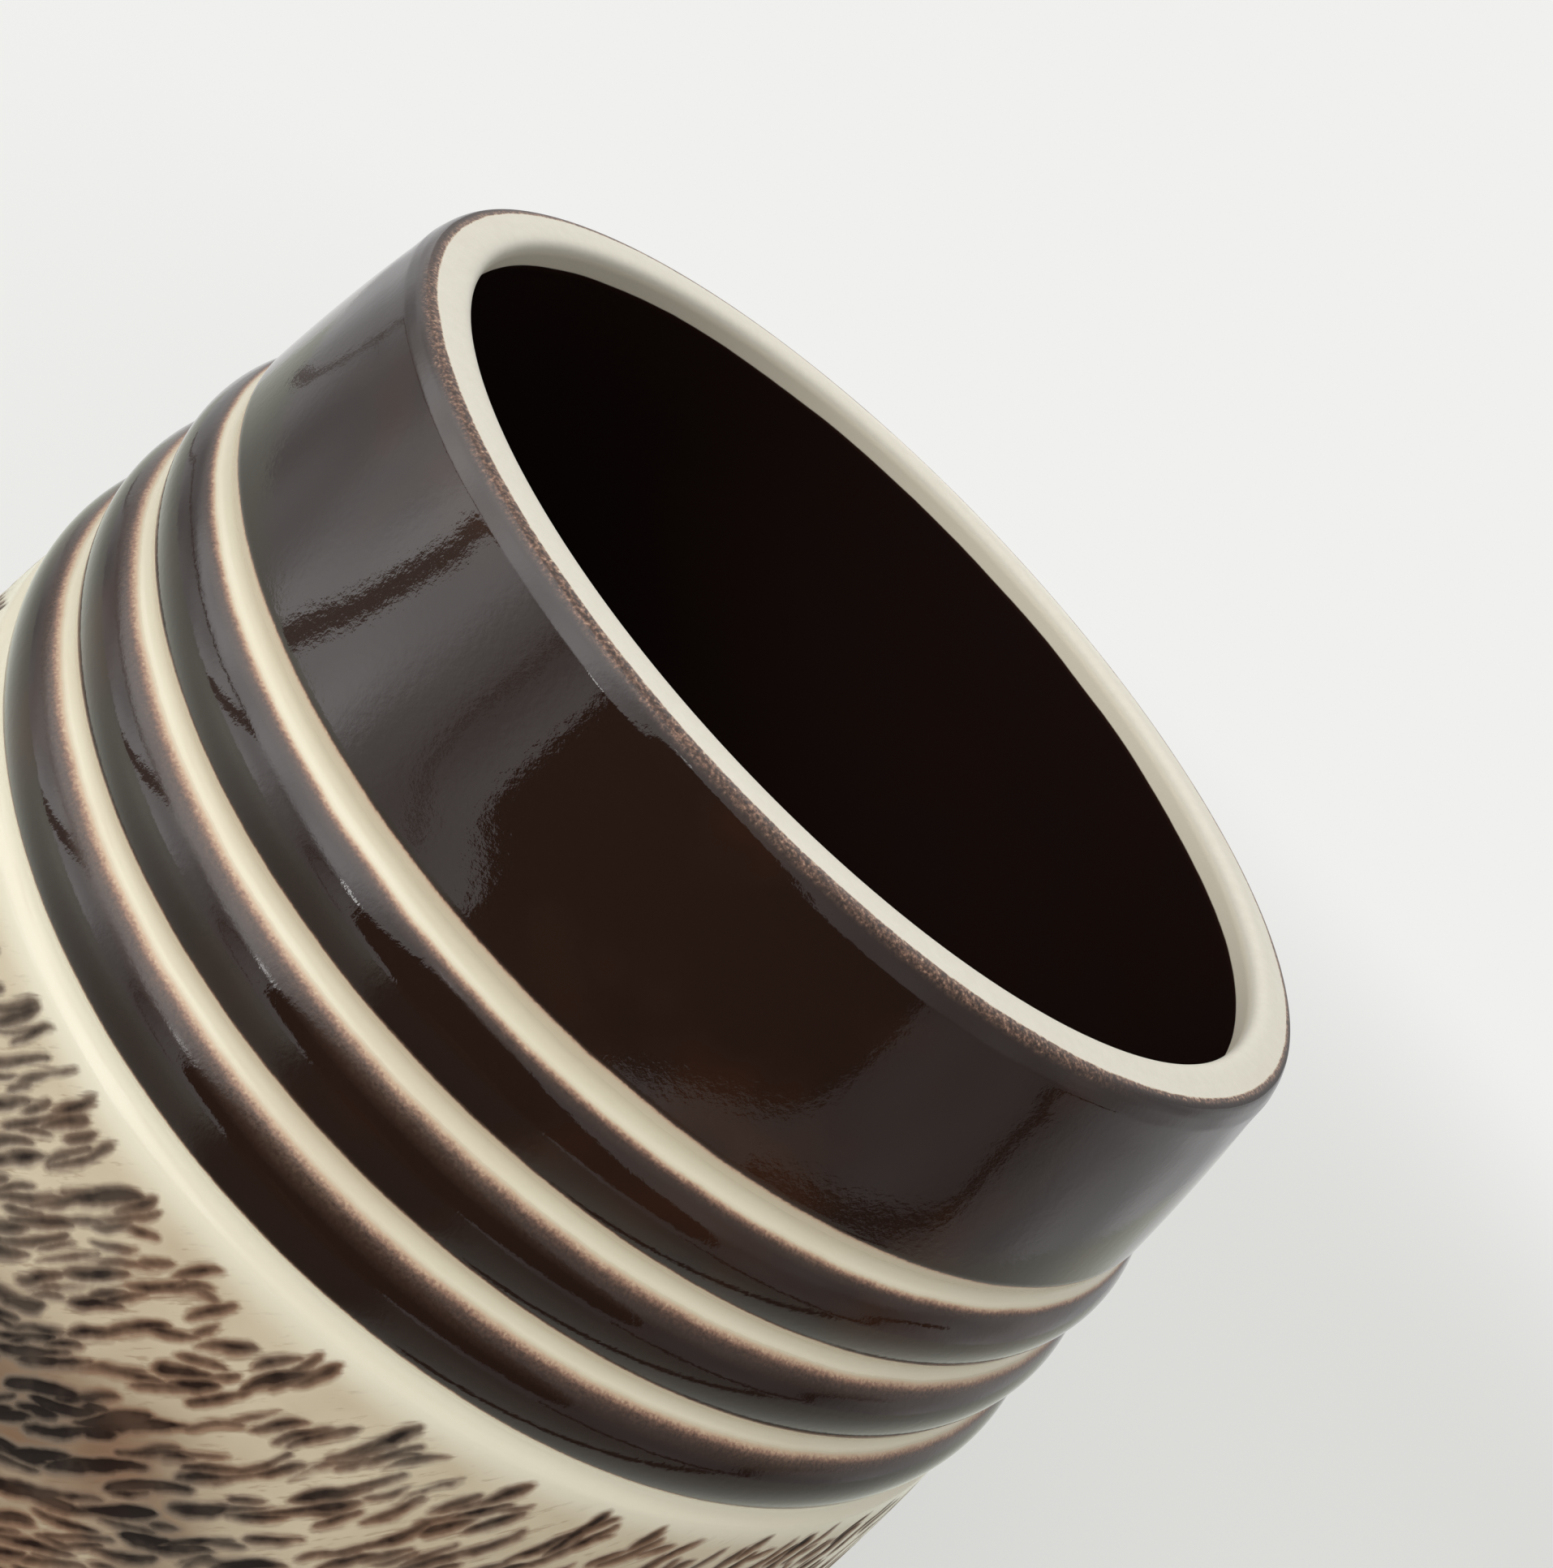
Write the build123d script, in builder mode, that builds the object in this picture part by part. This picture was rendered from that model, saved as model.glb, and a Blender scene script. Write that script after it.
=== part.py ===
from build123d import *
import os
from math import hypot, sqrt

# A stoneware pot with a ribbed shoulder, and its loose lid, which stands on its locating
# flange behind the pot. Millimetres, +Z up, origin in the middle of the foot on the surface
# that the pot stands on. The front faces -Y. Both pieces are thrown and turned forms, so
# each is one section revolved about its own upright axis. Section points are (radius, height).

# Pot, overall
pot_height = 158.0
wall = 4.7
belly_swell = 12.0          # the belly outside the lip, in radius
belly_height = 72.4
body_bow = 254.0            # radius of the barrel's long upright curve

# Lip
lip_radius = 46.0
lip_width = 4.5
lip_outer_round = 1.3
lip_inner_round = 0.5

# Neck and the banded shoulder under it
neck_height = 17.3
neck_flare = 3.7            # the neck's foot outside the lip, in radius
neck_bulge = 0.25
neck_foot_round = 1.8
rib_count = 3
rib_height = 5.6
rib_bulge = 0.75
groove_height = 2.05
groove_dip = 0.5
body_top_round = 0.9

# Base
foot_ring_setback = 5.7     # the foot ring inside the heel's corner, in radius
foot_ring_width = 4.0
foot_ring_height = 2.5
foot_ring_round = 0.8
heel_round = 6.0
floor_thickness = 5.5
floor_corner_round = 10.0

# Lid
lid_mouth_clearance = 0.9   # all round, between the flange and the mouth
lid_lip_setback = 0.2       # the lid's edge inside the pot's lip
flange_depth = 6.0
flange_width = 3.8
flange_tip_round = 0.9
lid_edge_height = 4.2
lid_edge_round = 1.6
lid_rise = 5.0
lid_thickness = 4.6
lid_dome_bulge = 1.2
lid_groove_inset = 5.5
lid_corner_round = 2.0

# Knob
knob_stem_radius = 7.0
knob_radius = 12.5
knob_flare_height = 8.0
knob_flare_hollow = 1.6
knob_rim_height = 2.6
knob_rim_round = 1.2
knob_crown = 2.4
knob_root_round = 1.5

# The lid lies this far clear of the belly, straight behind the pot
lid_gap = 14.0

# Radii that follow from the lip's
mouth_radius = lip_radius - lip_width
neck_foot_radius = lip_radius + neck_flare
belly_radius = lip_radius + belly_swell


def body_radius(height, inset=0.0):
    """Radius of the barrel curve at a height, drawn in by inset."""
    bow = body_bow - inset
    return belly_radius - body_bow + sqrt(bow**2 - (height - belly_height) ** 2)


def bowed(start, end, rise):
    """Arc from start down to end whose middle stands rise outside its chord."""
    run = (end[0] - start[0], end[1] - start[1])
    length = hypot(*run)
    middle = ((start[0] + end[0]) / 2, (start[1] + end[1]) / 2)
    crest = (middle[0] - run[1] * rise / length, middle[1] + run[0] * rise / length)
    return ThreePointArc(start, crest, end)


def round_corner(sketch, corner, radius):
    """Rounds the section's corner that lies nearest to a point."""
    fillet(sketch.vertices().sort_by_distance(corner)[0], radius)


# Heights and corners of the pot's section, from the lip down to the foot
neck_foot = (neck_foot_radius, pot_height - neck_height)
band_height = rib_count * rib_height + (rib_count + 1) * groove_height
body_top_z = neck_foot[1] - band_height
body_top = (body_radius(body_top_z), body_top_z)
band_slope = (body_top[0] - neck_foot[0]) / band_height
heel = (body_radius(foot_ring_height), foot_ring_height)
foot_ring_radius = heel[0] - foot_ring_setback
foot_ring_inner = foot_ring_radius - foot_ring_width
floor_z = foot_ring_height + floor_thickness


def band_point(depth):
    """Point on the straight line of the band edges, a depth below the neck's foot."""
    return (neck_foot[0] + band_slope * depth, neck_foot[1] - depth)


# The pot: neck, cream grooves and dark ribs by turns, barrel body, foot ring, hollow inside
with BuildPart() as pot:
    with BuildSketch(Plane.XZ) as pot_section:
        with BuildLine():
            mouth_edge = (mouth_radius, pot_height)
            lip_edge = (lip_radius, pot_height)
            Line(mouth_edge, lip_edge)
            bowed(lip_edge, neck_foot, neck_bulge)
            depth = 0.0
            for band in range(rib_count):
                rib_depth = depth + groove_height
                bowed(band_point(depth), band_point(rib_depth), -groove_dip)
                depth = rib_depth + rib_height
                bowed(band_point(rib_depth), band_point(depth), rib_bulge)
            bowed(band_point(depth), body_top, -groove_dip)
            ThreePointArc(body_top, (belly_radius, belly_height), heel)
            inner_top = (body_radius(body_top_z, wall), body_top_z)
            inner_floor = (body_radius(floor_z, wall), floor_z)
            Polyline(
                heel,
                (foot_ring_radius, foot_ring_height),
                (foot_ring_radius, 0),
                (foot_ring_inner, 0),
                (foot_ring_inner, foot_ring_height),
                (0, foot_ring_height),
                (0, floor_z),
                inner_floor,
            )
            ThreePointArc(inner_floor, (belly_radius - wall, belly_height), inner_top)
            Polyline(inner_top, (neck_foot_radius - wall, neck_foot[1]), mouth_edge)
        make_face()
        round_corner(pot_section, lip_edge, lip_outer_round)
        round_corner(pot_section, mouth_edge, lip_inner_round)
        round_corner(pot_section, neck_foot, neck_foot_round)
        round_corner(pot_section, body_top, body_top_round)
        round_corner(pot_section, heel, heel_round)
        round_corner(pot_section, (foot_ring_radius, 0), foot_ring_round)
        round_corner(pot_section, (foot_ring_inner, 0), foot_ring_round)
        round_corner(pot_section, inner_floor, floor_corner_round)
    revolve(axis=Axis.Z)

# Sizes that the lid takes from the pot's mouth and lip
lid_radius = lip_radius - lid_lip_setback
flange_radius = mouth_radius - lid_mouth_clearance
flange_inner = flange_radius - flange_width
lid_distance = belly_radius + lid_gap + lid_radius
lid_edge_z = flange_depth + lid_edge_height
lid_crown_z = lid_edge_z + lid_rise
groove_out = (lid_radius - lid_groove_inset, lid_edge_z)
groove_in = (groove_out[0] - groove_height, lid_edge_z)
knob_rim_z = lid_crown_z + knob_flare_height
knob_top_z = knob_rim_z + knob_rim_height

# The lid: domed cover with one groove, a knob, and a flange that drops into the mouth
with BuildPart() as lid:
    with BuildSketch(Plane.XZ.offset(-lid_distance)) as lid_section:
        with BuildLine():
            crown = (0, knob_top_z + knob_crown)
            knob_edge = (knob_radius, knob_top_z)
            knob_under = (knob_radius, knob_rim_z)
            knob_root = (knob_stem_radius, lid_crown_z)
            TangentArc(crown, knob_edge, tangent=(1, 0))
            Line(knob_edge, knob_under)
            bowed(knob_under, knob_root, -knob_flare_hollow)
            bowed(knob_root, groove_in, lid_dome_bulge)
            bowed(groove_in, groove_out, -groove_dip)
            lid_edge = (lid_radius, lid_edge_z)
            seat_edge = (lid_radius, flange_depth)
            hollow_edge = (flange_inner, flange_depth)
            Polyline(
                groove_out,
                lid_edge,
                seat_edge,
                (flange_radius, flange_depth),
                (flange_radius, 0),
                (flange_inner, 0),
                hollow_edge,
            )
            hollow_top = (0, lid_crown_z - lid_thickness)
            TangentArc(hollow_top, hollow_edge, tangent=(1, 0))
            Line(hollow_top, crown)
        make_face()
        round_corner(lid_section, knob_edge, knob_rim_round)
        round_corner(lid_section, knob_root, knob_root_round)
        round_corner(lid_section, lid_edge, lid_edge_round)
        round_corner(lid_section, (flange_radius, 0), flange_tip_round)
        round_corner(lid_section, (flange_inner, 0), flange_tip_round)
        round_corner(lid_section, hollow_edge, lid_corner_round)
    revolve(axis=Axis((0, lid_distance, 0), (0, 0, 1)))

os.makedirs("parts", exist_ok=True)
pot.part.label = "pot"
lid.part.label = "lid"
export_step(pot.part, "parts/pot.step")
export_step(lid.part, "parts/lid.step")
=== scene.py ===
"""Looks of the stoneware pot and of its loose lid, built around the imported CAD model.

Sections are (radius, height) in millimetres, as in the part's source, and everything that
goes to Blender is in metres. Azimuth 0 is the pot's front, -Y, and grows towards +X.
"""

import math

import bpy
import numpy as np
from mathutils import Matrix, Vector


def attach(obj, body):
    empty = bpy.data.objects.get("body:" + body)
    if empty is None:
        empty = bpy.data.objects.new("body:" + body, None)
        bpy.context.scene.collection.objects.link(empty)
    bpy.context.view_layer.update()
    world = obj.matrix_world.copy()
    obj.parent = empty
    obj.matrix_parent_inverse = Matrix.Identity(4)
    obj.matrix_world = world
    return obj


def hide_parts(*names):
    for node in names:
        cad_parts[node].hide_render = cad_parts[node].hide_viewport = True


MM = 0.001
STEP = 0.02   # millimetres between a section line's points, before it is divided into rows
TO_END = 1e9  # a length past the end of any section line

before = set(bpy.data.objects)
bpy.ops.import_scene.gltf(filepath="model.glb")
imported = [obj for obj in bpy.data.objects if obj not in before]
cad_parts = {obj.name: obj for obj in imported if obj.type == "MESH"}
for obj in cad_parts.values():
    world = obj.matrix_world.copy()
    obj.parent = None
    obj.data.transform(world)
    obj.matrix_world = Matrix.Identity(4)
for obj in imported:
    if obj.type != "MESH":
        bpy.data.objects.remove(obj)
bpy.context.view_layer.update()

# Sizes, as in the part's source
pot_height = 158.0
wall = 4.7
lip_radius = 46.0
lip_width = 4.5
lip_outer_round = 1.3
belly_swell = 12.0
belly_height = 72.4
body_bow = 254.0
neck_height = 17.3
neck_flare = 3.7
neck_bulge = 0.25
neck_foot_round = 1.8
rib_count = 3
rib_height = 5.6
rib_bulge = 0.75
groove_height = 2.05
groove_dip = 0.5
body_top_round = 0.9
foot_ring_setback = 5.7
foot_ring_width = 4.0
foot_ring_height = 2.5
foot_ring_round = 0.8
heel_round = 6.0
floor_thickness = 5.5
floor_corner_round = 10.0
lid_mouth_clearance = 0.9
lid_lip_setback = 0.2
flange_depth = 6.0
flange_width = 3.8
flange_tip_round = 0.9
lid_edge_height = 4.2
lid_edge_round = 1.6
lid_rise = 5.0
lid_thickness = 4.6
lid_dome_bulge = 1.2
lid_groove_inset = 5.5
lid_corner_round = 2.0
knob_stem_radius = 7.0
knob_radius = 12.5
knob_flare_height = 8.0
knob_flare_hollow = 1.6
knob_rim_height = 2.6
knob_rim_round = 1.2
knob_crown = 2.4
knob_root_round = 1.5
lid_gap = 14.0

mouth_radius = lip_radius - lip_width
neck_foot_radius = lip_radius + neck_flare
belly_radius = lip_radius + belly_swell

# Edges that are softened only here, or more than in the source
mouth_soft_round = 1.3
inner_neck_round = 20.0
rib_top_round = 2.0
rib_foot_round = 0.8
ring_root_round = 0.6
base_edge_round = 0.6
knob_under_round = 0.5
lid_groove_inner_round = 0.8
lid_groove_outer_round = 0.5
lid_seat_round = 0.4

# Relief that only the scene has
dash_depth = 0.15
dash_crest = 0.02      # a dash's raised edge
thrown_sway = 0.024    # the wall out of true round the pot
thrown_ridge = 0.016   # the throwing rings
wall_setback = 0.14    # how far the outside lies within the solid's
lip_setback = 0.22     # the same at the lip, growing outwards across its flat
lid_sway = 0.012
lid_ridge = 0.009
lid_setback = 0.06


def smoothstep(x, low, high):
    t = np.clip((np.asarray(x, dtype=float) - low) / (high - low), 0.0, 1.0)
    return t * t * (3.0 - 2.0 * t)


def body_radius(height, inset=0.0):
    """Radius of the barrel curve at a height, drawn in by inset."""
    bow = body_bow - inset
    return belly_radius - body_bow + np.sqrt(bow**2 - (height - belly_height) ** 2)


# Section lines
class Section:
    """A section line, walked from one end to the other with the surface's outside on its left."""

    def __init__(self, start, name):
        self.runs = [np.array([start], dtype=float)]
        self.marks = {name: 0}

    def add(self, points, name):
        """Adds a stretch, and marks its last point with a name."""
        self.runs.append(points)
        self.marks[name] = sum(len(run) for run in self.runs) - 1

    def end(self):
        return self.runs[-1][-1]

    def bow_to(self, end, name, rise=0.0):
        """Arc to end whose middle stands rise to the left of its chord; a line where rise is 0."""
        start, end = self.end(), np.array(end, dtype=float)
        run = end - start
        length = math.hypot(*run)
        t = np.linspace(0.0, 1.0, max(3, round(length / STEP)) + 1)[1:, None]
        left = np.array([-run[1], run[0]]) / length
        self.add(start + run * t + left * (4.0 * rise * t * (1.0 - t)), name)

    def barrel_to(self, height, name, inset=0.0):
        """Along the barrel curve, drawn in by inset, to a height."""
        steps = max(3, round(abs(height - self.end()[1]) / STEP))
        z = np.linspace(self.end()[1], height, steps + 1)[1:]
        self.add(np.stack([body_radius(z, inset), z], axis=1), name)

    def dome_to(self, radius, height, name):
        """Along a circle whose centre is on the axis, to a point that is level on the axis."""
        start = self.end()
        drop = height - start[1]
        across = max(radius, start[0])
        bend = (across**2 + drop**2) / (2.0 * abs(drop))
        r = np.linspace(start[0], radius, round(across / STEP) + 1)[1:]
        level = start[1] if start[0] < radius else height
        sign = math.copysign(1.0, drop if start[0] < radius else -drop)
        z = level + sign * (bend - np.sqrt(bend**2 - r**2))
        self.add(np.stack([r, z], axis=1), name)

    def points(self, rounds, zero):
        """The line's points with these corners rounded, and how far along it they and its marks
        lie, measured from mark zero with the corners still sharp."""
        points = np.concatenate(self.runs)
        along = np.concatenate([[0.0], np.cumsum(np.hypot(*np.diff(points, axis=0).T))])
        along -= along[self.marks[zero]]
        lengths = {name: float(along[at]) for name, at in self.marks.items()}
        sharp = points.copy()
        for name, radius in rounds:
            at = self.marks[name]
            into, out = sharp[at] - sharp[at - 1], sharp[at + 1] - sharp[at]
            turn = math.atan2(*out) - math.atan2(*into)
            turn = abs((turn + math.pi) % (2.0 * math.pi) - math.pi)
            reach = radius * math.tan(turn / 2.0)
            a = int(np.searchsorted(along, along[at] - reach))
            b = int(np.searchsorted(along, along[at] + reach))
            first, last = sharp[a] - sharp[a - 1], sharp[b + 1] - sharp[b]
            cross = first[0] * last[1] - first[1] * last[0]
            gap = sharp[b] - sharp[a]
            corner = sharp[a] + first * ((gap[0] * last[1] - gap[1] * last[0]) / cross)
            t = ((along[a : b + 1] - along[a]) / (along[b] - along[a]))[:, None]
            points[a : b + 1] = (
                sharp[a] * (1 - t) ** 2 + corner * (2 * t * (1 - t)) + sharp[b] * t**2
            )
        return points, along, lengths


def divide(points, along, steps):
    """Rows of a section line. steps lists (up to this length along it, row step)."""
    real = np.concatenate([[0.0], np.cumsum(np.hypot(*np.diff(points, axis=0).T))])
    limits = np.array([limit for limit, _ in steps])
    sizes = np.array([size for _, size in steps])
    step = sizes[np.minimum(np.searchsorted(limits, along), len(sizes) - 1)]
    count = np.concatenate([[0.0], np.cumsum(np.diff(real) / step[1:])])
    rows = np.linspace(0.0, count[-1], int(count[-1]) + 1)
    at = np.interp(rows, count, real)
    r, z, s = (np.interp(at, real, values) for values in (points[:, 0], points[:, 1], along))
    tangent = np.stack([np.gradient(r, at), np.gradient(z, at)])
    tangent /= np.hypot(*tangent)
    return {"r": r, "z": z, "s": s, "nr": -tangent[1], "nz": tangent[0]}


def placed(name, data):
    """A new object in the scene."""
    thing = bpy.data.objects.new(name, data)
    bpy.context.scene.collection.objects.link(thing)
    return thing


def turned_mesh(name, rows, azimuths, relief, fields, centre, zones, materials):
    """A closed turned form: the rows swept round the upright axis at centre.

    relief is how far each point stands out of its row, in millimetres, as rows by azimuths.
    fields are named values per point, besides the length down the section. zones lists (up to
    this length, material number).
    """
    n, m = len(rows["r"]), len(azimuths)
    radius = rows["r"][:, None] + rows["nr"][:, None] * relief
    height = rows["z"][:, None] + rows["nz"][:, None] * relief
    x = centre[0] + radius * np.sin(azimuths)
    y = centre[1] - radius * np.cos(azimuths)
    grid = np.stack([x, y, height], axis=-1)[1:-1].reshape(-1, 3)
    ends = [[centre[0], centre[1], rows["z"][k]] for k in (0, -1)]
    places = np.concatenate([grid, ends]) * MM

    def index(row, column):
        return (row - 1) * m + column % m

    i, j = np.meshgrid(np.arange(1, n - 2), np.arange(m), indexing="ij")
    # each starts at its lower left, so that it splits along the dashes' lean and not across it
    quads = np.stack([index(i + 1, j), index(i + 1, j + 1), index(i, j + 1), index(i, j)], -1)
    quads = quads.reshape(-1, 4)
    first, last = len(grid), len(grid) + 1
    k = np.arange(m)
    top = np.stack([np.full(m, first), index(1, k), index(1, k + 1)], -1)
    low = np.stack([np.full(m, last), index(n - 2, k + 1), index(n - 2, k)], -1)
    corners = np.concatenate([quads.ravel(), top.ravel(), low.ravel()])
    sizes = np.concatenate([np.full(len(quads), 4), np.full(2 * m, 3)])
    starts = np.concatenate([[0], np.cumsum(sizes)[:-1]])

    mesh = bpy.data.meshes.new(name)
    mesh.vertices.add(len(places))
    mesh.vertices.foreach_set("co", places.ravel().astype(np.float32))
    mesh.loops.add(len(corners))
    mesh.loops.foreach_set("vertex_index", corners.astype(np.int32))
    mesh.polygons.add(len(sizes))
    mesh.polygons.foreach_set("loop_start", starts.astype(np.int32))
    limits = [limit for limit, _ in zones]
    numbers = np.array([number for _, number in zones])
    middle = (rows["s"][1:] + rows["s"][:-1]) / 2
    of_row = numbers[np.minimum(np.searchsorted(limits, middle), len(numbers) - 1)]
    number = np.concatenate(
        [np.repeat(of_row[1:-1], m), np.full(m, of_row[0]), np.full(m, of_row[-1])]
    )
    mesh.polygons.foreach_set("material_index", number.astype(np.int32))

    # u runs round the pot and v along the section, so that one unrolled sheet holds it all
    u = (np.concatenate([azimuths, [azimuths[0] + 2 * math.pi]]) + math.pi) / (2 * math.pi)
    length = np.concatenate([[0.0], np.cumsum(np.hypot(np.diff(rows["r"]), np.diff(rows["z"])))])
    v = length / length[-1]
    sheet = [
        np.stack([u[j], v[i + 1]], -1), np.stack([u[j + 1], v[i + 1]], -1),
        np.stack([u[j + 1], v[i]], -1), np.stack([u[j], v[i]], -1),
    ]
    between = (u[:-1] + u[1:]) / 2
    fans = []
    for row, tip, order in ((1, 0, (0, 1)), (n - 2, n - 1, (1, 0))):
        fan = [np.stack([between, np.full(m, v[tip])], -1)]
        fan += [np.stack([u[k + step], np.full(m, v[row])], -1) for step in order]
        fans.append(np.stack(fan, axis=1).reshape(-1, 2))
    uv = np.concatenate([np.stack(sheet, axis=2).reshape(-1, 2), *fans])
    mesh.uv_layers.new(name="OFBake").data.foreach_set("uv", uv.ravel().astype(np.float32))

    mesh.update(calc_edges=True)
    fields = {"down": rows["s"][:, None], **fields}
    for field, values in fields.items():
        values = np.broadcast_to(values, (n, m))
        flat = np.concatenate([values[1:-1].ravel(), [values[0].mean(), values[-1].mean()]])
        layer = mesh.attributes.new(name=field, type="FLOAT", domain="POINT")
        layer.data.foreach_set("value", flat.astype(np.float32))
    mesh.polygons.foreach_set("use_smooth", np.ones(len(sizes), dtype=bool))
    for material in materials:
        mesh.materials.append(material)
    return placed(name, mesh)


# The pot's section
neck_foot = (neck_foot_radius, pot_height - neck_height)
band_height = rib_count * rib_height + (rib_count + 1) * groove_height
body_top_z = neck_foot[1] - band_height
body_top = (float(body_radius(body_top_z)), body_top_z)
band_slope = (body_top[0] - neck_foot[0]) / band_height
heel = (float(body_radius(foot_ring_height)), foot_ring_height)
foot_ring_radius = heel[0] - foot_ring_setback
foot_ring_inner = foot_ring_radius - foot_ring_width
floor_z = foot_ring_height + floor_thickness


def band_point(depth):
    """Point on the straight line of the band edges, a depth below the neck's foot."""
    return (neck_foot[0] + band_slope * depth, neck_foot[1] - depth)


pot_line = Section((0.0, floor_z), "floor_middle")
pot_line.bow_to((float(body_radius(floor_z, wall)), floor_z), "inner_floor")
pot_line.barrel_to(body_top_z, "inner_top", wall)
pot_line.bow_to((neck_foot_radius - wall, neck_foot[1]), "inner_neck")
pot_line.bow_to((mouth_radius, pot_height), "mouth_edge")
pot_line.bow_to((lip_radius - lip_width / 2, pot_height), "lip_middle")
pot_line.bow_to((lip_radius, pot_height), "lip_edge")
pot_line.bow_to(neck_foot, "neck_foot", neck_bulge)
depth = 0.0
for band in range(rib_count):
    depth += groove_height
    pot_line.bow_to(band_point(depth), f"rib_top_{band}", -groove_dip)
    depth += rib_height
    pot_line.bow_to(band_point(depth), f"rib_foot_{band}", rib_bulge)
pot_line.bow_to(body_top, "body_top", -groove_dip)
pot_line.barrel_to(foot_ring_height, "heel")
pot_line.bow_to((foot_ring_radius, foot_ring_height), "ring_root")
pot_line.bow_to((foot_ring_radius, 0.0), "ring_outer")
pot_line.bow_to((foot_ring_inner, 0.0), "ring_inner")
pot_line.bow_to((foot_ring_inner, foot_ring_height), "base_edge")
pot_line.bow_to((0.0, foot_ring_height), "base_middle")

pot_rounds = [
    ("inner_floor", floor_corner_round), ("inner_neck", inner_neck_round),
    ("mouth_edge", mouth_soft_round), ("lip_edge", lip_outer_round),
    ("neck_foot", neck_foot_round), ("body_top", body_top_round), ("heel", heel_round),
    ("ring_root", ring_root_round), ("ring_outer", foot_ring_round),
    ("ring_inner", foot_ring_round), ("base_edge", base_edge_round),
]
for band in range(rib_count):
    pot_rounds += [(f"rib_top_{band}", rib_top_round), (f"rib_foot_{band}", rib_foot_round)]
pot_points, pot_along, pot_at = pot_line.points(pot_rounds, "lip_middle")
pot_rows = divide(
    pot_points, pot_along,
    [
        (pot_at["inner_floor"] - 12.0, 2.2), (pot_at["inner_neck"] - 20.0, 1.1),
        (pot_at["mouth_edge"] - 4.0, 0.8), (pot_at["mouth_edge"] + 1.0, 0.12),
        (pot_at["lip_edge"] - 1.2, 0.3), (pot_at["lip_edge"] + 3.0, 0.14),
        (pot_at["neck_foot"] - 1.6, 0.36), (pot_at["body_top"] + 1.2, 0.19),
        (pot_at["body_top"] + 36.0, 0.17), (pot_at["heel"] - 8.0, 0.4),
        (pot_at["base_edge"] + 1.0, 0.3), (TO_END, 2.0),
    ],
)


def azimuths_of(front_step, back_step, front_half):
    """Azimuths in radians, closer together within front_half of the front. All in degrees."""
    front = np.arange(-front_half, front_half, front_step)
    back = np.arange(front_half, 360.0 - front_half, back_step)
    both = np.concatenate([front, back])
    return np.radians(np.sort((both + 180.0) % 360.0 - 180.0))


pot_azimuths = azimuths_of(front_step=0.175, back_step=0.42, front_half=72.0)

# The carved dashes
below_top = pot_rows["s"] - pot_at["body_top"]      # down the body, in millimetres
body_length = pot_at["heel"] - pot_at["body_top"]
CLEAR = -0.7                                        # distance kept where no dash is near
DASH_ROUND = 0.13                                   # how softly a dash is hollowed, in mm
TUFTS = 46                                          # in the upper row, 8 mm or so apart
FIRST_ROW = 4.8                                     # of the clusters, down the body
ROW_DROP = 3.4                                      # to the next row, and a little less low down
DASH_SPACING = 1.85                                 # round the pot
HEEL_CLEAR = 11.0                                   # plain glaze above the heel
dash_field = np.full((len(below_top), len(pot_azimuths)), CLEAR)


def lumps(down, azimuths, size, seed):
    """Smooth random values from -1 to 1 over the surface, in lumps of a size in millimetres."""
    draw = np.random.default_rng(seed)
    around = round(2 * math.pi * belly_radius / size)
    a = (azimuths + math.pi) / (2 * math.pi) * around
    b = (down - down.min()) / size
    lattice = draw.uniform(-1.0, 1.0, (int(b.max()) + 2, around))
    a0, b0 = np.floor(a).astype(int), np.floor(b).astype(int)
    fa, fb = smoothstep(a - a0, 0, 1), smoothstep(b - b0, 0, 1)[:, None]
    a1, a0, b1 = (a0 + 1) % around, a0 % around, b0 + 1
    upper = lattice[b0][:, a0] * (1 - fa) + lattice[b0][:, a1] * fa
    lower = lattice[b1][:, a0] * (1 - fa) + lattice[b1][:, a1] * fa
    return upper * (1 - fb) + lower * fb


def uneven(*layers):
    """Lumps of several sizes added up. layers lists (size, reach, seed)."""
    return sum(reach * lumps(below_top, pot_azimuths, size, seed) for size, reach, seed in layers)


# the dashes' outlines follow a surface that is itself pulled a little out of true
pull_x = uneven((2.6, 0.24, 31), (1.2, 0.1, 32))
pull_y = uneven((2.6, 0.24, 41), (1.2, 0.1, 42))
sway = uneven((14.0, 0.14, 51), (6.0, 0.10, 52))


def stamp_dash(azimuth, depth, length, half_width, lean, bend, skew, faint):
    """Writes one dash into dash_field: how far each point lies inside its outline, in mm."""
    reach = length / 2 + 1.2
    a, b = np.searchsorted(below_top, [depth - reach, depth + reach])
    if b - a < 2:
        return
    radius = pot_rows["r"][(a + b) // 2]
    low, high = np.searchsorted(
        pot_azimuths, [azimuth - reach / radius, azimuth + reach / radius]
    )
    if high - low < 2:
        return
    lean += sway[(a + b) // 2, (low + high) // 2]
    x = (pot_azimuths[low:high] - azimuth) * radius + pull_x[a:b, low:high]
    y = below_top[a:b, None] - depth + pull_y[a:b, low:high]
    t = x * math.cos(lean) - y * math.sin(lean)
    across = x * math.sin(lean) + y * math.cos(lean) - bend * (t**2 - length**2 / 12)
    along = np.clip(2 * t / length, -1.0, 1.0)
    width = half_width * (1.0 - along**2) ** 0.6 * (1.0 + skew * along)
    inside = np.hypot(width, DASH_ROUND) - np.hypot(across, DASH_ROUND)
    beyond = np.maximum(np.abs(t) - length / 2, 0.0)
    inside = np.where(beyond > 0, -np.hypot(across, beyond), inside) - faint
    part = dash_field[a:b, low:high]
    np.maximum(part, inside, out=part)


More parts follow.
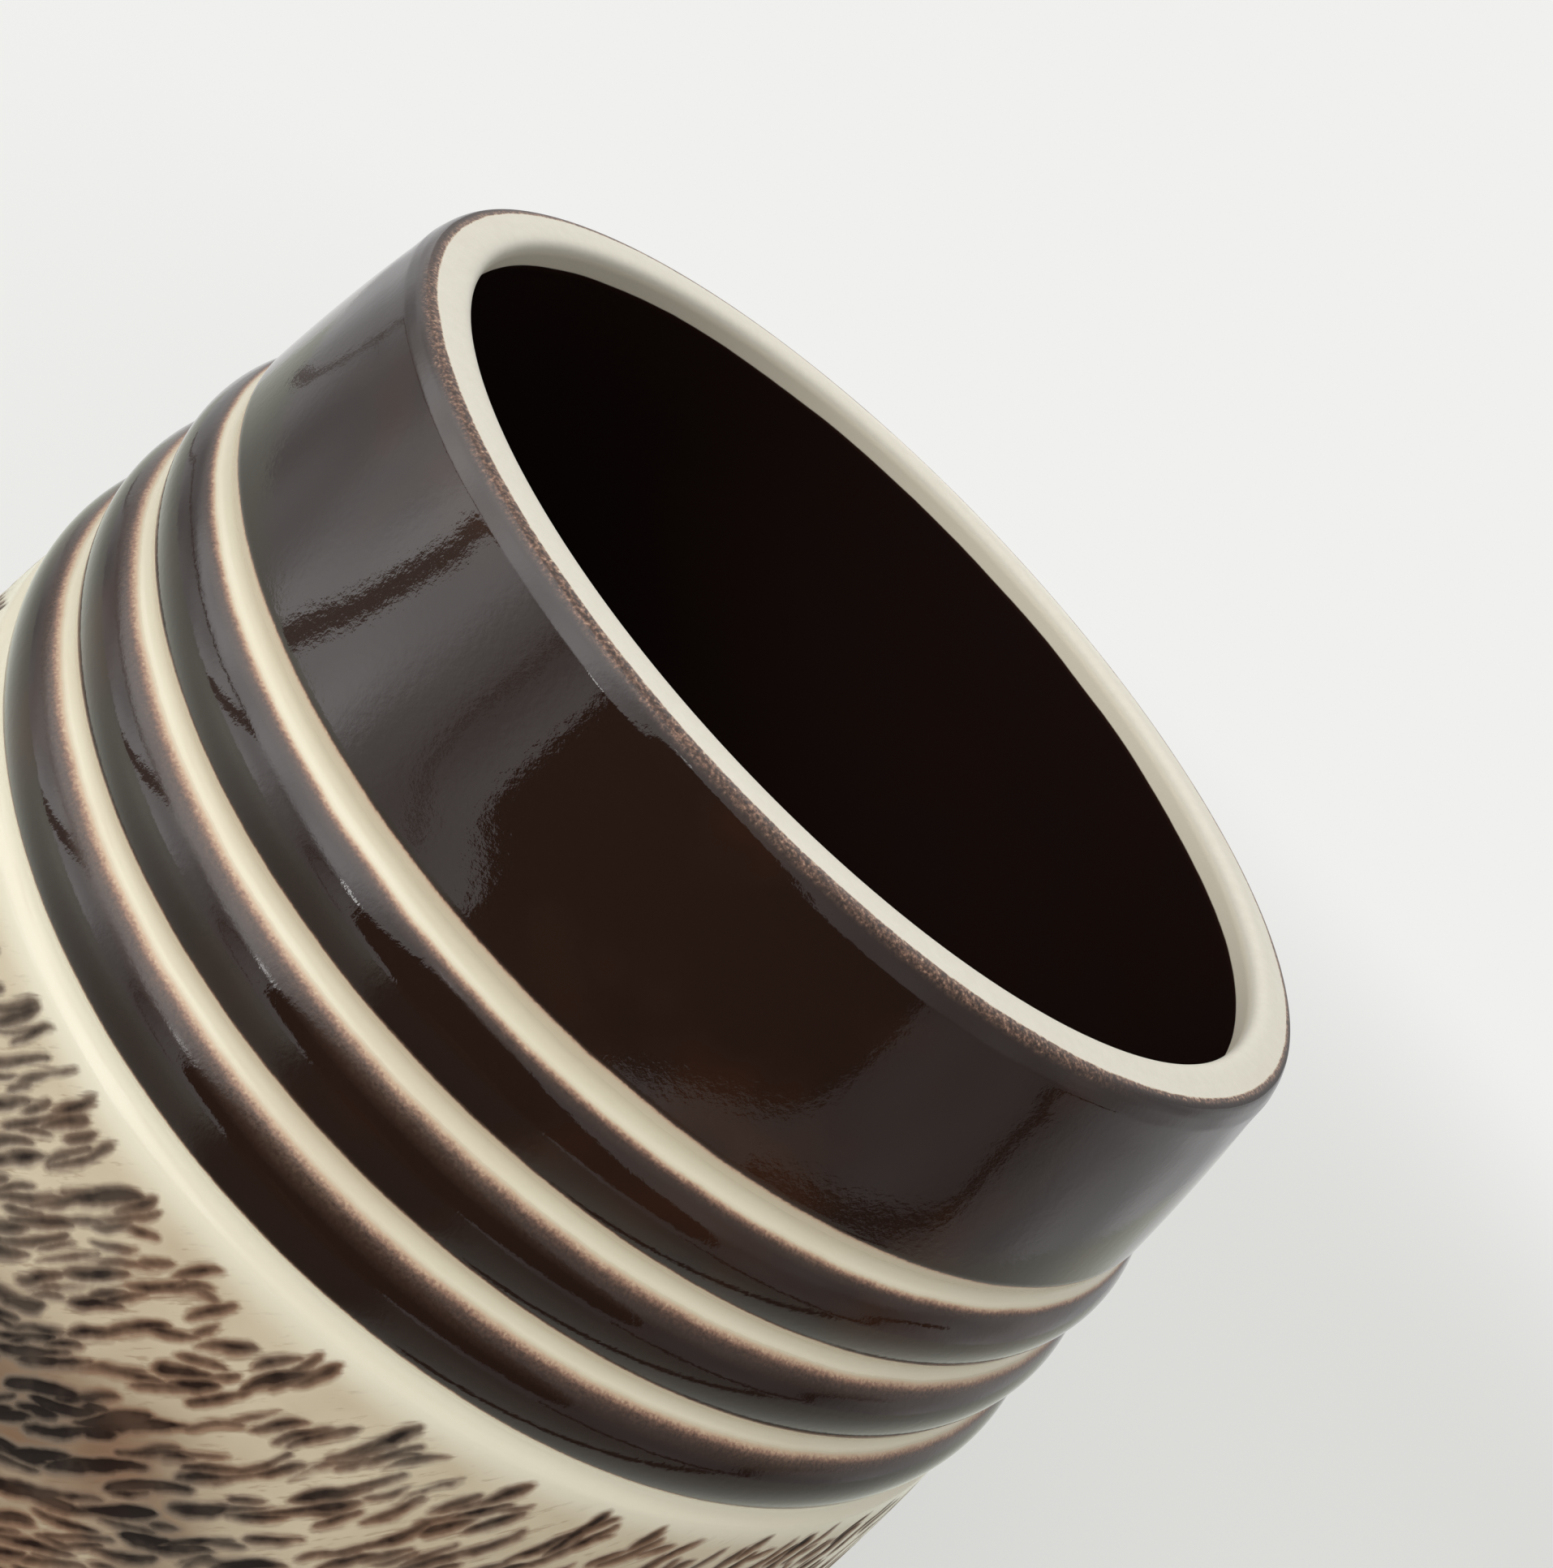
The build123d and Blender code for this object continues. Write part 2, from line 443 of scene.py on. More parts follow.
def wrapped_dash(azimuth, *rest):
    """A dash that also shows where it crosses the seam at the back."""
    azimuth = (azimuth + math.pi) % (2 * math.pi) - math.pi
    for turn in (-2 * math.pi, 0.0, 2 * math.pi):
        if abs(azimuth + turn) < math.pi + 0.15:
            stamp_dash(azimuth + turn, *rest)


def carve():
    """The pot's dashes: a row of tufts under the shoulder, then clusters all down the body."""
    draw = np.random.default_rng(20261)
    mean_radius = float(body_radius(100.0))
    # the upper tufts, some of them a pair that meets at the foot
    for k in range(TUFTS):
        azimuth = (k + draw.uniform(-0.25, 0.25)) * 2 * math.pi / TUFTS
        depth = draw.uniform(2.3, 3.2)
        lean = math.radians(draw.uniform(54.0, 68.0))
        wrapped_dash(azimuth, depth, draw.uniform(3.0, 4.2), draw.uniform(0.34, 0.48), lean,
                     draw.uniform(-0.04, 0.04), draw.uniform(-0.2, 0.5), draw.uniform(0.0, 0.1))
        if draw.random() < 0.4:
            aside = draw.uniform(0.9, 1.6) / mean_radius
            wrapped_dash(azimuth + aside, depth + 1.0, draw.uniform(2.4, 3.4), 0.24,
                         math.radians(draw.uniform(26.0, 40.0)), 0.0, 0.2, 0.06)
    depth = FIRST_ROW
    last = body_length - HEEL_CLEAR
    while depth < last:
        radius = float(np.interp(depth, below_top, pot_rows["r"]))
        share = min(1.0, depth / 30.0)
        count = round(2 * math.pi * radius / DASH_SPACING)
        shift = draw.random()
        for k in range(count):
            azimuth = (k + shift + draw.uniform(-0.3, 0.3)) * 2 * math.pi / count
            centre = depth + draw.uniform(-1.6, 1.6)
            if centre > last or draw.random() < 0.05:
                continue
            lean = math.radians(draw.normal(57.0 - 12.0 * share, 5.0))
            wide = float(np.clip(draw.lognormal(math.log(0.29), 0.3), 0.2, 0.5))
            wrapped_dash(azimuth, centre, draw.uniform(3.0, 5.4) + 2.0 * (wide - 0.2), wide,
                         lean, draw.uniform(-0.05, 0.05), draw.uniform(-0.5, 0.5),
                         max(0.0, draw.normal(0.02, 0.1)))
            if draw.random() < 0.45:
                dx, dy = draw.uniform(-1.4, 1.4), draw.uniform(-2.0, 2.0)
                wrapped_dash(azimuth + dx / radius, centre + dy, draw.uniform(1.8, 3.8),
                             draw.uniform(0.2, 0.28), lean + draw.normal(0.0, 0.1),
                             draw.uniform(-0.08, 0.08), draw.uniform(-0.4, 0.4),
                             draw.uniform(0.0, 0.12))
        depth += ROW_DROP - 0.5 * share


carve()


def ripple(azimuth, seed, waves, reach):
    """A smooth closed curve round the pot, for uneven edges and throwing."""
    draw = np.random.default_rng(seed)
    total = np.zeros_like(azimuth)
    for count in waves:
        total += np.cos(count * azimuth + draw.uniform(0, 2 * math.pi)) * draw.uniform(0.5, 1.0)
    return reach * total / math.sqrt(len(waves))


# The pot's stain and relief
down = pot_rows["s"][:, None]
down_body = below_top[:, None]
mouth, lip, foot, heel_edge = (
    pot_at[name] for name in ("mouth_edge", "lip_edge", "neck_foot", "heel")
)

on_body = smoothstep(down_body, 0.3, 3.0)
on_body = on_body * (1 - smoothstep(down_body, body_length - 6.0, body_length))
stain = smoothstep(down_body + ripple(pot_azimuths, 7, (2, 3, 5, 9, 14), 5.0), 4.0, 19.0)
stain = stain * (1 - 0.9 * smoothstep(down_body, body_length - 30.0, body_length - 10.0))
stain = stain * (down_body > 0)

thrown = ripple(pot_azimuths, 3, (2, 3, 4), thrown_sway)
thrown = thrown + thrown_ridge * np.sin(down / 4.1 + ripple(pot_azimuths, 5, (1, 2), 1.2))
lowered = wall_setback * smoothstep(down, lip + 0.5, lip + 4.0)
lowered = lowered * (1 - smoothstep(down, heel_edge + 1.0, pot_at["ring_root"]))
crowned = lip_setback * np.clip((down - mouth - 0.6) / (lip - mouth), 0.0, 1.0) ** 2
crowned = crowned * (1 - smoothstep(down, lip, lip + 2.5))
pot_relief = thrown * ((down > lip) & (down < heel_edge)) - np.maximum(lowered, crowned)
hollow = smoothstep(dash_field, -0.4, 0.45)
crest = smoothstep(dash_field, -0.62, -0.28) * (1 - smoothstep(dash_field, -0.2, 0.05))
pot_relief = pot_relief + on_body * (dash_crest * crest - dash_depth * hollow)

# The lid's section
lid_radius = lip_radius - lid_lip_setback
flange_radius = mouth_radius - lid_mouth_clearance
flange_inner = flange_radius - flange_width
lid_distance = belly_radius + lid_gap + lid_radius
lid_edge_z = flange_depth + lid_edge_height
lid_crown_z = lid_edge_z + lid_rise
groove_out = (lid_radius - lid_groove_inset, lid_edge_z)
groove_in = (groove_out[0] - groove_height, lid_edge_z)
knob_rim_z = lid_crown_z + knob_flare_height
knob_top_z = knob_rim_z + knob_rim_height

lid_line = Section((0.0, knob_top_z + knob_crown), "crown")
lid_line.dome_to(knob_radius, knob_top_z, "knob_edge")
lid_line.bow_to((knob_radius, knob_rim_z), "knob_under")
lid_line.bow_to((knob_stem_radius, lid_crown_z), "knob_root", -knob_flare_hollow)
lid_line.bow_to(groove_in, "groove_in", lid_dome_bulge)
lid_line.bow_to(groove_out, "groove_out", -groove_dip)
lid_line.bow_to((lid_radius, lid_edge_z), "lid_edge")
lid_line.bow_to((lid_radius, flange_depth), "seat_edge")
lid_line.bow_to((flange_radius, flange_depth), "flange_root")
lid_line.bow_to((flange_radius, 0.0), "flange_outer")
lid_line.bow_to((flange_inner, 0.0), "flange_inner")
lid_line.bow_to((flange_inner, flange_depth), "hollow_edge")
lid_line.dome_to(0.0, lid_crown_z - lid_thickness, "hollow_middle")
lid_points, lid_along, lid_at = lid_line.points(
    [
        ("knob_edge", knob_rim_round), ("knob_under", knob_under_round),
        ("knob_root", knob_root_round), ("groove_in", lid_groove_inner_round),
        ("groove_out", lid_groove_outer_round), ("lid_edge", lid_edge_round),
        ("seat_edge", lid_seat_round), ("flange_root", lid_seat_round),
        ("flange_outer", flange_tip_round), ("flange_inner", flange_tip_round),
        ("hollow_edge", lid_corner_round),
    ],
    "crown",
)
lid_rows = divide(
    lid_points, lid_along,
    [
        (lid_at["knob_edge"] - 2.0, 0.8), (lid_at["knob_under"] + 1.0, 0.2),
        (lid_at["knob_root"] + 2.0, 0.35), (lid_at["groove_in"] - 1.5, 0.5),
        (lid_at["lid_edge"] + 2.0, 0.2), (lid_at["flange_inner"] + 2.0, 0.3), (TO_END, 0.9),
    ],
)

# The lid's relief
lid_azimuths = azimuths_of(front_step=0.6, back_step=0.6, front_half=90.0)
down = lid_rows["s"][:, None]
thrown = ripple(lid_azimuths, 11, (2, 3, 5), lid_sway) + lid_ridge * np.sin(down / 2.3)
lid_relief = (thrown - lid_setback) * (down < lid_at["seat_edge"])


# Materials
def srgb(red, green, blue):
    """A colour as a screen shows it, 0 to 255, made linear."""
    def linear(value):
        value /= 255.0
        return value / 12.92 if value <= 0.04045 else ((value + 0.055) / 1.055) ** 2.4
    return (linear(red), linear(green), linear(blue), 1.0)


BARE_CLAY = srgb(232, 227, 211)
CREAM = srgb(228, 221, 199)
TAN = srgb(190, 163, 136)
UMBER = srgb(62, 37, 30)
BROWN = srgb(37, 24, 19)
INSIDE = srgb(32, 22, 20)

DASH_TWIST = 14.5  # how far the dashes run round the pot, in radians per metre of height
LUMP = 0.6         # width of a noise lump, as a share of the noise's own unit


class Nodes:
    """The shader nodes of one material or world, from none."""

    def __init__(self, owner, output="OutputMaterial"):
        self.owner = owner
        owner.use_nodes = True
        self.tree = owner.node_tree
        self.tree.nodes.clear()
        self.output = self.node(output)

    def node(self, kind, *inputs, **settings):
        """A new node with these settings. inputs go to its first sockets."""
        made = self.tree.nodes.new("ShaderNode" + kind)
        for key, value in settings.items():
            setattr(made, key, value)
        for socket, value in zip(made.inputs, inputs):
            self.feed(socket, value)
        return made

    def result(self, kind, *inputs, **settings):
        """The first output of a new node."""
        return self.node(kind, *inputs, **settings).outputs[0]

    def feed(self, socket, value):
        if isinstance(value, bpy.types.NodeSocket):
            self.tree.links.new(value, socket)
        elif socket.type == "RGBA" and isinstance(value, float):
            socket.default_value = (value, value, value, 1.0)
        else:
            socket.default_value = value

    def math(self, operation, *values, clamp=False):
        return self.result("Math", *values, operation=operation, use_clamp=clamp)

    def times(self, first, second):
        return self.math("MULTIPLY", first, second)

    def plus(self, first, second):
        return self.math("ADD", first, second)

    def minus(self, first, second):
        return self.math("SUBTRACT", first, second)

    def spread(self, value, low, high, to_low=0.0, to_high=1.0, soft=True):
        kind = "SMOOTHSTEP" if soft else "LINEAR"
        return self.result(
            "MapRange", value, low, high, to_low, to_high, interpolation_type=kind
        )

    def field(self, name):
        return self.node("Attribute", attribute_name=name).outputs["Fac"]

    def show(self, shader):
        self.feed(self.output.inputs[0], shader)

    def mirrored_or_seen(self):
        """1 for what the camera sees, and for what gloss and glass show; 0 for soft light."""
        rays = self.node("LightPath").outputs
        glossy = self.math("MAXIMUM", rays["Is Camera Ray"], rays["Is Glossy Ray"])
        return self.math("MAXIMUM", glossy, rays["Is Transmission Ray"])


class Paint(Nodes):
    """One procedural material on a single Principled shader."""

    def __init__(self, name):
        super().__init__(bpy.data.materials.new(name))
        self.shader = self.node("BsdfPrincipled")
        self.show(self.shader.outputs[0])

    def mix(self, share, first, second):
        made = self.node("Mix", share, data_type="RGBA")
        self.feed(made.inputs[6], first)
        self.feed(made.inputs[7], second)
        return made.outputs[2]

    def ramp(self, value, stops):
        """Colour or grey by value. stops lists (position, colour or number)."""
        made = self.node("ValToRGB", value)
        elements = made.color_ramp.elements
        while len(elements) < len(stops):
            elements.new(1.0)
        for element, (position, colour) in zip(elements, stops):
            element.position = position
            element.color = colour if isinstance(colour, tuple) else (colour,) * 3 + (1.0,)
        return made.outputs[0]

    def place(self):
        return self.node("TexCoord").outputs["Object"]

    def noise(self, millimetres, detail=2.0, roughness=0.5, where=None):
        """Noise from 0 to 1 whose lumps are about that many millimetres wide."""
        made = self.node("TexNoise", self.place() if where is None else where)
        made.inputs["Scale"].default_value = LUMP / (millimetres * MM)
        made.inputs["Detail"].default_value = detail
        made.inputs["Roughness"].default_value = roughness
        return made.outputs[0]

    def streaks(self, across, along, detail=2.0):
        """Noise from 0 to 1 drawn out along the slanting dashes, both sizes in millimetres."""
        up = self.node("SeparateXYZ", self.place()).outputs[2]
        twisted = self.node("VectorRotate", self.place(), rotation_type="Z_AXIS")
        self.feed(twisted.inputs["Angle"], self.times(up, -DASH_TWIST))
        drawn = self.node("Mapping", twisted.outputs[0], vector_type="POINT")
        drawn.inputs["Scale"].default_value = (1.0, 1.0, across / along)
        return self.noise(across, detail, 0.55, drawn.outputs[0])

    def specks(self, millimetres, size, share):
        """1 in scattered round specks of that size, in a share of cells that wide."""
        made = self.node("TexVoronoi", self.place())
        made.inputs["Scale"].default_value = 1.0 / (millimetres * MM)
        near = self.spread(made.outputs["Distance"], size / millimetres, 0.4 * size / millimetres)
        chosen = self.result("SeparateColor", made.outputs["Color"])
        chosen = self.math("LESS_THAN", chosen, share)
        return self.times(near, chosen)

    def shifted(self, value, noise, reach):
        """The value, pushed up and down by a noise over that reach."""
        return self.plus(value, self.times(self.minus(noise, 0.5), reach))

    def bump(self, height, millimetres, below=None):
        made = self.node("Bump")
        self.feed(made.inputs["Height"], height)
        made.inputs["Distance"].default_value = millimetres * MM
        if below is not None:
            self.feed(made.inputs["Normal"], below)
        return made.outputs[0]

    def finish(self, colour, roughness, normal, shine=0.5):
        self.feed(self.shader.inputs["Specular IOR Level"], shine)
        self.feed(self.shader.inputs["Base Color"], colour)
        self.feed(self.shader.inputs["Roughness"], roughness)
        self.feed(self.shader.inputs["Normal"], normal)
        return self.owner


def stops_along(points, start, length):
    """Ramp stops from (length along the section, value), as shares of a stretch."""
    return [((at - start) / length, value) for at, value in points]


# cream to brown as the glaze thickens; in the grooves its low, greyer stops are partly painted
# shade
GLAZE_RAMP = [
    (0.0, CREAM), (0.15, srgb(202, 191, 166)), (0.28, TAN), (0.44, srgb(142, 109, 90)),
    (0.62, srgb(90, 67, 55)), (0.8, srgb(58, 42, 34)), (1.0, BROWN),
]


def bare_clay(paint):
    """Pale clay where the glaze was wiped off, a little mottled."""
    return paint.mix(paint.noise(0.5, 3.0, 0.7), BARE_CLAY, srgb(219, 213, 195))


def banded_glaze(name, edges, bare_from, bare_to, grainy_to):
    """Brown and cream bands, and bare clay between two lengths along the section.

    edges lists (length along the section, how brown), in order. Up to grainy_to the brown
    breaks up over the clay in coarser specks.
    """
    paint = Paint(name)
    start, length = edges[0][0], edges[-1][0] - edges[0][0]
    down = paint.field("down")
    shifted = paint.shifted(down, paint.noise(2.6, 2.0), 0.26)
    shifted = paint.shifted(shifted, paint.noise(0.32, 2.0, 0.6), 0.12)
    part = paint.spread(shifted, start, start + length, soft=False)
    brown = paint.ramp(part, stops_along(edges, start, length))
    # where the glaze ran up to the bare lip, only a thin line of it is grainy
    solid = paint.spread(down, grainy_to, grainy_to - 0.3)
    solid = paint.times(paint.field("ran_up"), solid)
    solid = paint.times(solid, paint.spread(shifted, grainy_to - 2.25, grainy_to - 1.8))
    missing = paint.minus(1.0, brown)
    brown = paint.plus(brown, paint.times(solid, missing))
    # speckles only where brown thins out over cream
    thin = paint.times(brown, paint.minus(1.0, brown))
    grain = paint.minus(paint.noise(0.15, 2.0, 0.6), 0.5)
    speckled = paint.times(thin, paint.spread(brown, 0.14, 0.4))
    coarse = paint.spread(down, grainy_to, grainy_to - 0.6, 2.0, 6.0)
    speck = paint.times(paint.times(speckled, grain), coarse)
    brown = paint.math("ADD", brown, speck, clamp=True)
    glaze = paint.ramp(brown, GLAZE_RAMP)
    amber = paint.spread(paint.noise(13.0, 3.0, 0.6), 0.5, 0.7, 0.0, 0.42)
    amber = paint.times(amber, paint.spread(brown, 0.85, 1.0))
    glaze = paint.mix(amber, glaze, srgb(64, 37, 20))

    bare = paint.times(
        paint.spread(shifted, bare_from, bare_from + 0.15),
        paint.spread(shifted, bare_to + 0.2, bare_to),
    )
    clay = paint.mix(paint.spread(brown, 0.05, 0.3), bare_clay(paint), glaze)
    colour = paint.mix(bare, glaze, clay)
    pin = paint.specks(7.0, 0.22, 0.16)
    colour = paint.mix(paint.times(pin, 0.75), colour, srgb(70, 55, 45))
    mottle = paint.spread(paint.noise(9.0, 2.0), 0.45, 0.8, 0.0, 0.14)
    mottle = paint.times(mottle, paint.minus(1.0, brown))
    colour = paint.mix(mottle, colour, srgb(196, 172, 140))

    gloss = paint.spread(brown, 0.3, 0.95, 0.16, 0.05)
    wet = paint.plus(gloss, paint.times(thin, 0.9))
    roughness = paint.mix(bare, wet, 0.5)
    peel = paint.bump(paint.noise(1.6, 2.0, 0.45), 0.010)
    peel = paint.bump(paint.noise(0.36, 3.0, 0.6), 0.012, peel)
    grit = paint.times(paint.noise(0.18, 3.0, 0.7), paint.plus(bare, thin))
    normal = paint.bump(grit, 0.02, peel)
    return paint.finish(colour, roughness, normal)


def dashed_glaze(name, plain_to):
    """Cream glaze over carved dashes, stained brown lower down."""
    paint = Paint(name)
    dash = paint.field("dash")
    stained = paint.field("stain")
    plain = paint.spread(paint.field("down"), plain_to + 3.0, plain_to)
    patch = paint.noise(7.0, 2.0, 0.55)
    stained = paint.times(stained, paint.spread(patch, 0.25, 0.6, 0.5, 1.0))
    depth = paint.shifted(dash, paint.noise(0.75, 2.0, 0.5), 0.4)
    depth = paint.shifted(depth, paint.streaks(0.45, 3.0), 0.16)
    soaked = paint.times(stained, stained)
    depth = paint.plus(depth, paint.times(soaked, 0.27))
    dark = paint.spread(depth, -0.5, 0.5, soft=False)

    ground = paint.mix(paint.noise(3.5, 3.0, 0.6), srgb(213, 201, 175), srgb(185, 168, 140))
    fleck = paint.spread(paint.streaks(0.34, 1.1, 3.0), 0.56, 0.72, 0.0, 0.55)
    ground = paint.mix(fleck, ground, srgb(152, 128, 102))
    ground = paint.mix(plain, ground, CREAM)
    ground = paint.mix(paint.times(soaked, 0.95), ground, srgb(122, 93, 70))
    hue = paint.spread(paint.noise(6.0, 2.0), 0.38, 0.62)
    core = paint.mix(hue, srgb(40, 26, 20), srgb(40, 33, 30))
    halo = paint.mix(hue, srgb(136, 106, 84), srgb(126, 110, 94))
    strands = paint.spread(paint.streaks(0.42, 3.0, 3.0), 0.48, 0.7, 0.0, 0.7)
    strands = paint.times(strands, paint.spread(dash, -0.7, -0.35))
    outer = paint.mix(strands, ground, halo)
    outer = paint.mix(paint.spread(dark, -0.02, 0.44, soft=False), outer, halo)
    filled = paint.spread(dark, 0.32, 0.74, soft=False)
    paler = paint.spread(paint.noise(2.8, 3.0, 0.6), 0.36, 0.58, 0.78, 1.0)
    paler = paint.math("MAXIMUM", paler, soaked)
    colour = paint.mix(paint.times(filled, paler), outer, core)
    pin = paint.specks(8.0, 0.2, 0.12)
    colour = paint.mix(paint.times(pin, 0.7), colour, srgb(80, 62, 50))

    roughness = paint.spread(dark, 0.25, 0.6, 0.18, 0.5)
    shine = paint.spread(dark, 0.25, 0.6, 0.5, 0.08)
    peel = paint.bump(paint.noise(0.9, 3.0, 0.5), 0.012)
    normal = paint.bump(paint.noise(0.3, 3.0, 0.65), 0.008, peel)
    return paint.finish(colour, roughness, normal, shine)


def inner_glaze(name, bare_down_to):
    """Near-black glaze inside, up to an uneven line, and bare clay above it, paler down the inner
    wall as painted light.
    """
    paint = Paint(name)
    down = paint.field("down")
    shifted = paint.shifted(down, paint.noise(9.0, 3.0, 0.5), 0.6)
    bare = paint.spread(shifted, bare_down_to - 0.05, bare_down_to + 0.1)
    rim = paint.spread(shifted, bare_down_to - 0.5, bare_down_to)
    deep = paint.mix(paint.noise(6.0, 2.0), INSIDE, srgb(36, 23, 18))
    deep = paint.mix(paint.times(rim, 0.5), deep, UMBER)
    # painted light: the bare clay down the inner wall is made paler than on the lip's face
    painted_light_wall = paint.spread(down, bare_down_to + 2.4, bare_down_to + 1.6)
    clay = paint.mix(painted_light_wall, bare_clay(paint), srgb(250, 240, 217))
    colour = paint.mix(bare, deep, clay)
    roughness = paint.mix(bare, 0.08, 0.62)
    peel = paint.bump(paint.noise(1.5, 2.0), 0.006)
    grit = paint.times(paint.noise(0.18, 3.0, 0.7), bare)
    return paint.finish(colour, roughness, paint.bump(grit, 0.02, peel))


def fired_clay(name):
    """The bare clay of the foot: toasted, gritty, with iron specks."""
    paint = Paint(name)
    colour = paint.mix(paint.noise(5.0, 4.0, 0.6), srgb(206, 190, 160), srgb(186, 160, 126))
    grain = paint.noise(0.25, 3.0, 0.7)
    colour = paint.mix(paint.spread(grain, 0.5, 0.8, 0.0, 0.4), colour, srgb(150, 122, 92))
    colour = paint.mix(paint.specks(2.6, 0.3, 0.3), colour, srgb(92, 66, 48))
    roughness = paint.spread(grain, 0.2, 0.8, 0.62, 0.8)
    return paint.finish(colour, roughness, paint.bump(grain, 0.05))


PAST_END = 50.0    # millimetres, further than any glaze goes
INSIDE_BARE = 2.9  # the wiped band inside the mouth

# How brown the pot is along its section: sharp under the neck and each rib, and thinning out
# in specks at each rib's upper edge. The grooves keep a little brown, darkest just under the
# edge above them: partly thin glaze, partly painted shade under that edge
pot_edges = [
    (-3.0, 0.0), (lip - 1.12, 0.0), (lip - 1.0, 0.58), (lip + 0.25, 0.74), (lip + 0.7, 1.0),
    (foot - 0.42, 1.0), (foot - 0.18, 0.62), (foot - 0.04, 0.2),
]
FADE = [(0.0, 0.04), (0.19, 0.34), (0.44, 0.72), (1.0, 1.0)]
for band, fade in enumerate((1.3, 2.3, 2.3)):
    top, low = pot_at[f"rib_top_{band}"] - (0.45, 0.6, 0.6)[band], pot_at[f"rib_foot_{band}"]
    pot_edges += [(top + fade * share, brown) for share, brown in FADE]
    # the tan at each rib's foot runs down into the groove below: painted shade under the rib, and
    # thin glaze
    pot_edges += [(low - 0.42, 1.0), (low - 0.18, 0.62), (low - 0.04, (0.2, 0.2, 0.06)[band])]
pot_edges.append((pot_at["body_top"] + 2.0, 0.0))

knob, inner, outer, seat = (
    lid_at[name] for name in ("knob_edge", "groove_in", "groove_out", "seat_edge")
)
lid_edges = [
    (-3.0, 1.0), (knob - 1.3, 1.0), (knob - 0.6, 0.55), (knob + 0.5, 0.55), (knob + 1.2, 1.0),
    (inner - 0.3, 1.0), (inner - 0.02, 0.62), (inner + 0.12, 0.06), (outer - 0.3, 0.04),
    (outer + 0.2, 0.34), (outer + 0.9, 1.0), (seat - 1.6, 1.0), (seat - 0.9, 0.62),
    (seat - 0.4, 0.5), (seat, 0.0), (lid_at["hollow_edge"] + 3.0, 0.0),
]

# how far the glaze ran up to the bare lip: hardly in front, and all the way at the sides
turn = np.degrees(pot_azimuths) + ripple(pot_azimuths, 13, (5, 9, 14), 4.0)
ran_up = 1.0 - smoothstep(turn, -76.0, -50.0) * (1.0 - smoothstep(turn, 30.0, 50.0))

pot_materials = [
    inner_glaze("glaze_inside", mouth - INSIDE_BARE),
    banded_glaze("glaze_bands", pot_edges, -PAST_END, lip - 0.2, lip + 1.4),
    dashed_glaze("glaze_dashes", pot_at["body_top"]),
    fired_clay("clay_foot"),
]
lid_materials = [
    banded_glaze("glaze_lid", lid_edges, seat - 1.2, lid_at["hollow_edge"] + PAST_END, 0.0),
    fired_clay("clay_lid"),
]

# The two pieces
pot = turned_mesh(
    "pot_glazed", pot_rows, pot_azimuths, pot_relief,
    {"dash": dash_field, "stain": stain, "ran_up": ran_up}, (0.0, 0.0),
    [(0.0, 0), (pot_at["rib_foot_2"] + 0.45, 1), (pot_at["ring_root"] - 1.0, 2), (TO_END, 3)],
    pot_materials,
)
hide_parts("pot")
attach(pot, "pot")

lid = turned_mesh(
    "lid_glazed", lid_rows, lid_azimuths, lid_relief, {}, (0.0, lid_distance),
    [(lid_at["flange_root"], 0), (TO_END, 1)], lid_materials,
)
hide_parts("lid")
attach(lid, "lid")


# Camera
def turned(first, second, angle):
    """Two directions at right angles, turned from the first towards the second."""
    return (
        first * math.cos(angle) + second * math.sin(angle),
        second * math.cos(angle) - first * math.sin(angle),
    )


def photo_camera():
    """The photograph's viewpoint, fitted to the pot's edge rings in units of 45 mm."""
    unit = 45.0
    focal_pixels, photo_height_pixels = 2200.0, 1932.0
    back, above = 3.0582, 0.9364
    yaw, pitch, roll = 0.0171, -0.1133, 0.8107
    rim = Vector((0.0, 0.0, pot_height * MM))
    eye = rim + Vector((0.0, -back, above)) * (unit * MM)
    forward = (rim - eye).normalized()
    right = Vector((1.0, 0.0, 0.0))
    up = right.cross(forward)
    forward, right = turned(forward, right, yaw)
    forward, up = turned(forward, up, pitch)
    right, up = turned(right, up, roll)
    data = bpy.data.cameras.new("photo_camera")
    data.sensor_fit = "VERTICAL"
    data.sensor_height = 36.0
    data.lens = focal_pixels / photo_height_pixels * data.sensor_height
    data.clip_start, data.clip_end = 0.005, 50.0
    camera = placed("photo_camera", data)
    facing = Matrix((right, up, -forward)).transposed().to_4x4()
    camera.matrix_world = Matrix.Translation(eye) @ facing
    bpy.context.scene.camera = camera


photo_camera()


# Floor, light and backdrop
WHITE = (1.0, 1.0, 1.0, 1.0)
BACKDROP = srgb(240, 240, 238)
FILL = 0.52                     # the even light from all round
SHADE_PLACE = (0.3, 0.15, 0.0)  # round here the floor shows its shadows most


def soft_light(name, place, size, power):
    """A large soft lamp aimed at the pot's shoulder."""
    data = bpy.data.lights.new(name, "AREA")
    data.shape = "DISK"
    data.size = size
    data.energy = power
    lamp = placed(name, data)
    lamp.location = place
    aim = Vector((0.0, 0.0, 0.1)) - Vector(place)
    lamp.rotation_euler = aim.to_track_quat("-Z", "Y").to_euler()
    lamp.visible_glossy = False


soft_light("window", place=(-0.48, -0.85, 0.9), size=0.9, power=9.2)


def pale_world():
    """Even daylight, and the plain pale backdrop for the camera and for reflections."""
    nodes = Nodes(bpy.data.worlds.new("pale"), "OutputWorld")
    bpy.context.scene.world = nodes.owner
    fill = nodes.result("Background", WHITE, FILL)
    backdrop = nodes.result("Background", BACKDROP)
    nodes.show(nodes.result("MixShader", nodes.mirrored_or_seen(), fill, backdrop))


pale_world()


